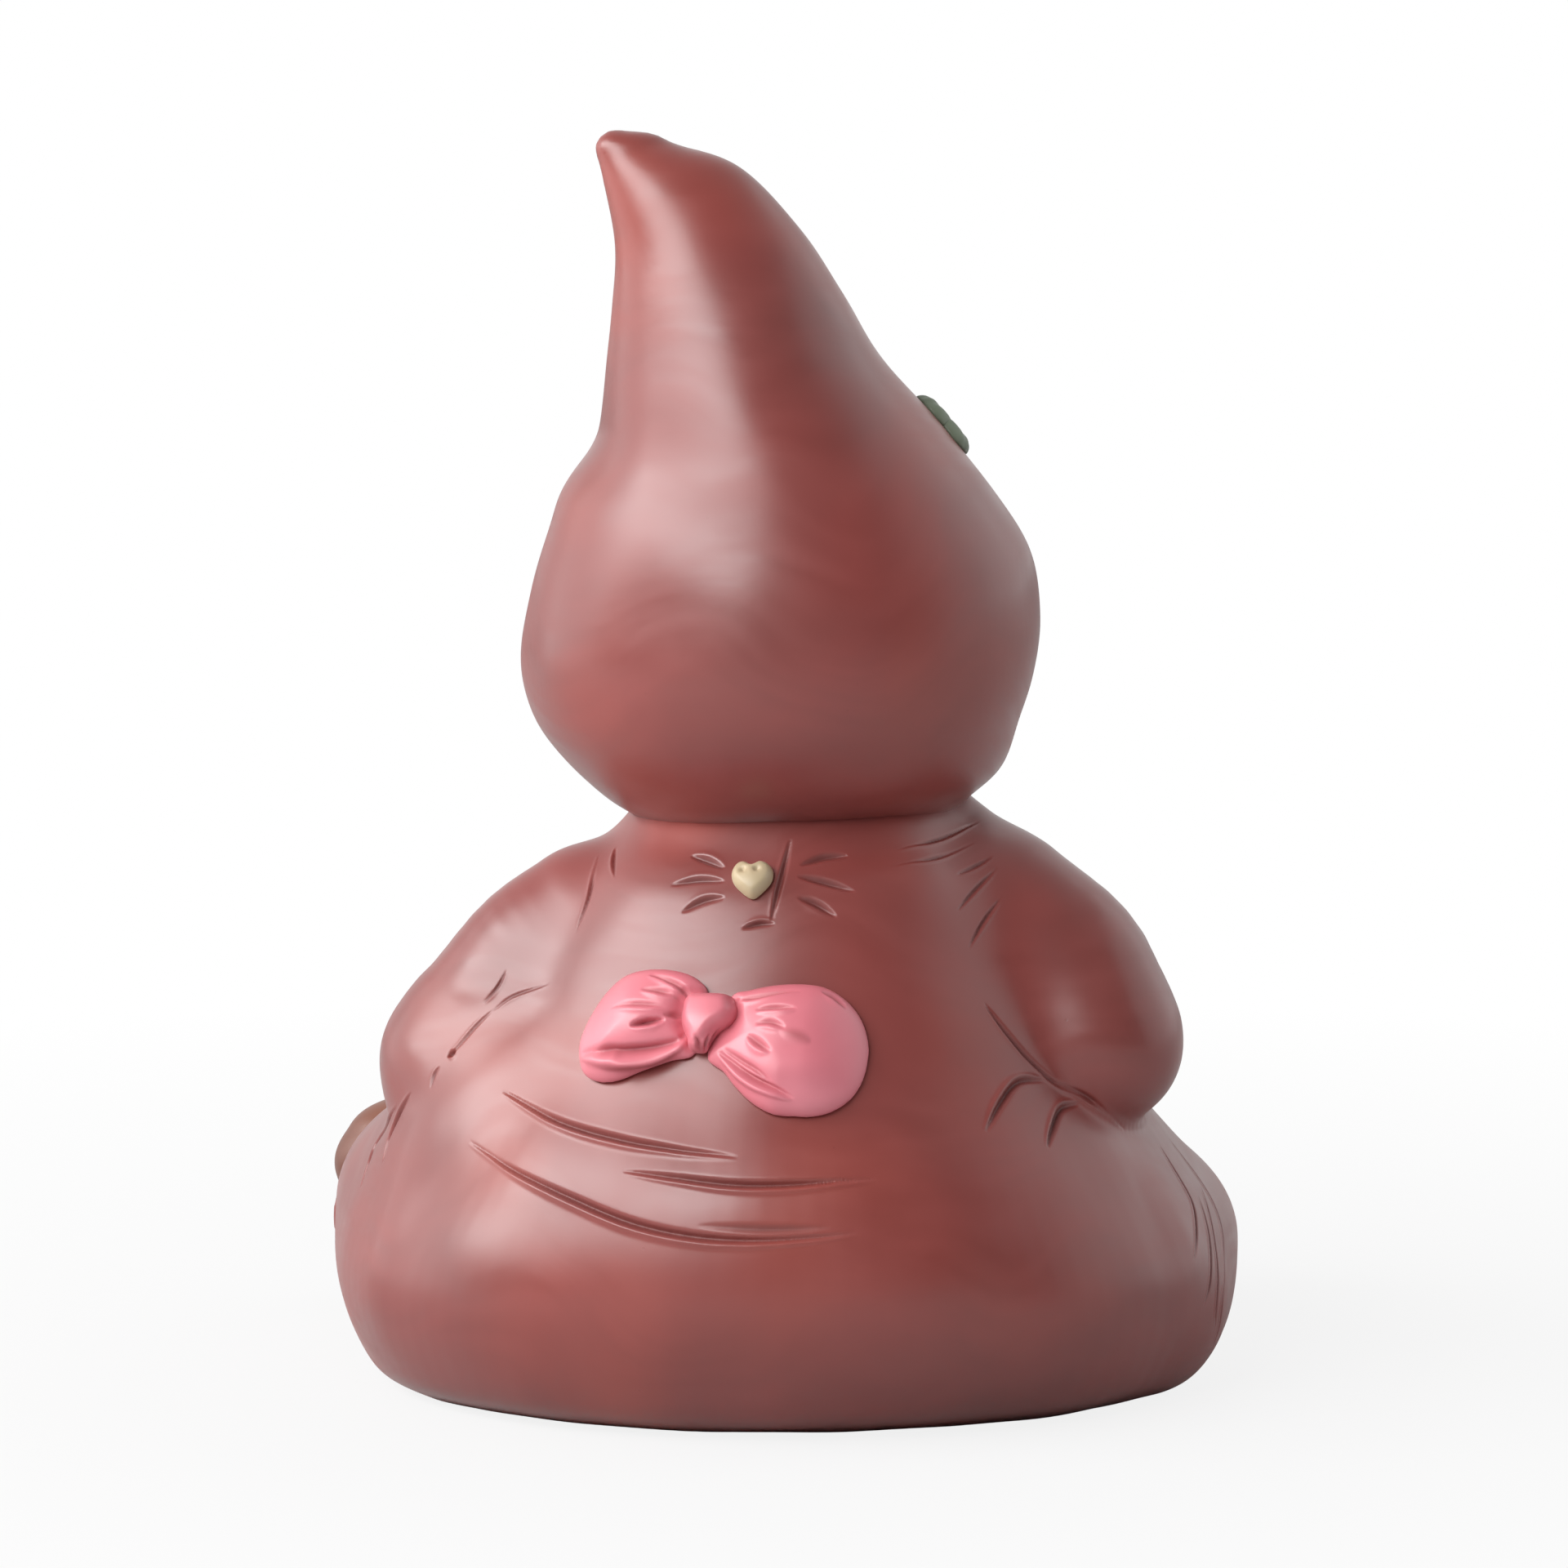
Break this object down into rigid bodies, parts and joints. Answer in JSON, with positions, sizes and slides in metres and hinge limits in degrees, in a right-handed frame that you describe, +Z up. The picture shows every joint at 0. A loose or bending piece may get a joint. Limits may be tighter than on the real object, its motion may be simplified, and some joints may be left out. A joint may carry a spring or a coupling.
{
  "type": "nisse figure",
  "caption": "Seated nisse figure of hollow painted clay in a terracotta suit and a tall pointed hood that bends at its tip, with a bow on its back.",
  "frame": {"origin": "middle of the flat underside of the base, on the surface that the figure sits on", "axes": "+Z up, the figure faces -Y, and its left hand is on +X"},
  "size_m": [0.1162, 0.1092, 0.1591],
  "materials": {
    "suit": "satin brushed terracotta-red paint over fired clay",
    "skin": "satin flesh-coloured paint over fired clay",
    "eye": "gloss black glaze",
    "shoe": "glossy brown glaze",
    "sole": "matt dark brown paint",
    "bow": "satin pink paint",
    "button": "satin cream paint",
    "leaf": "satin sage-green paint",
    "bare_clay": "unpainted fired clay"
  },
  "bodies": {
    "root": {"hood": "suit", "body_shell": "suit", "left_leg": "suit", "right_leg": "suit", "left_arm": "suit", "right_arm": "suit", "head": "skin", "nose": "skin", "left_hand": "skin", "right_hand": "skin", "left_eye": "eye", "right_eye": "eye", "left_shoe": "shoe", "right_shoe": "shoe", "left_sole": "sole", "right_sole": "sole", "bow_knot": "bow", "bow_left_loop": "bow", "bow_right_loop": "bow", "heart_button": "button", "leaf_upper": "leaf", "leaf_lower": "leaf", "neck_tube": "bare_clay"}
  },
  "joints": []
}
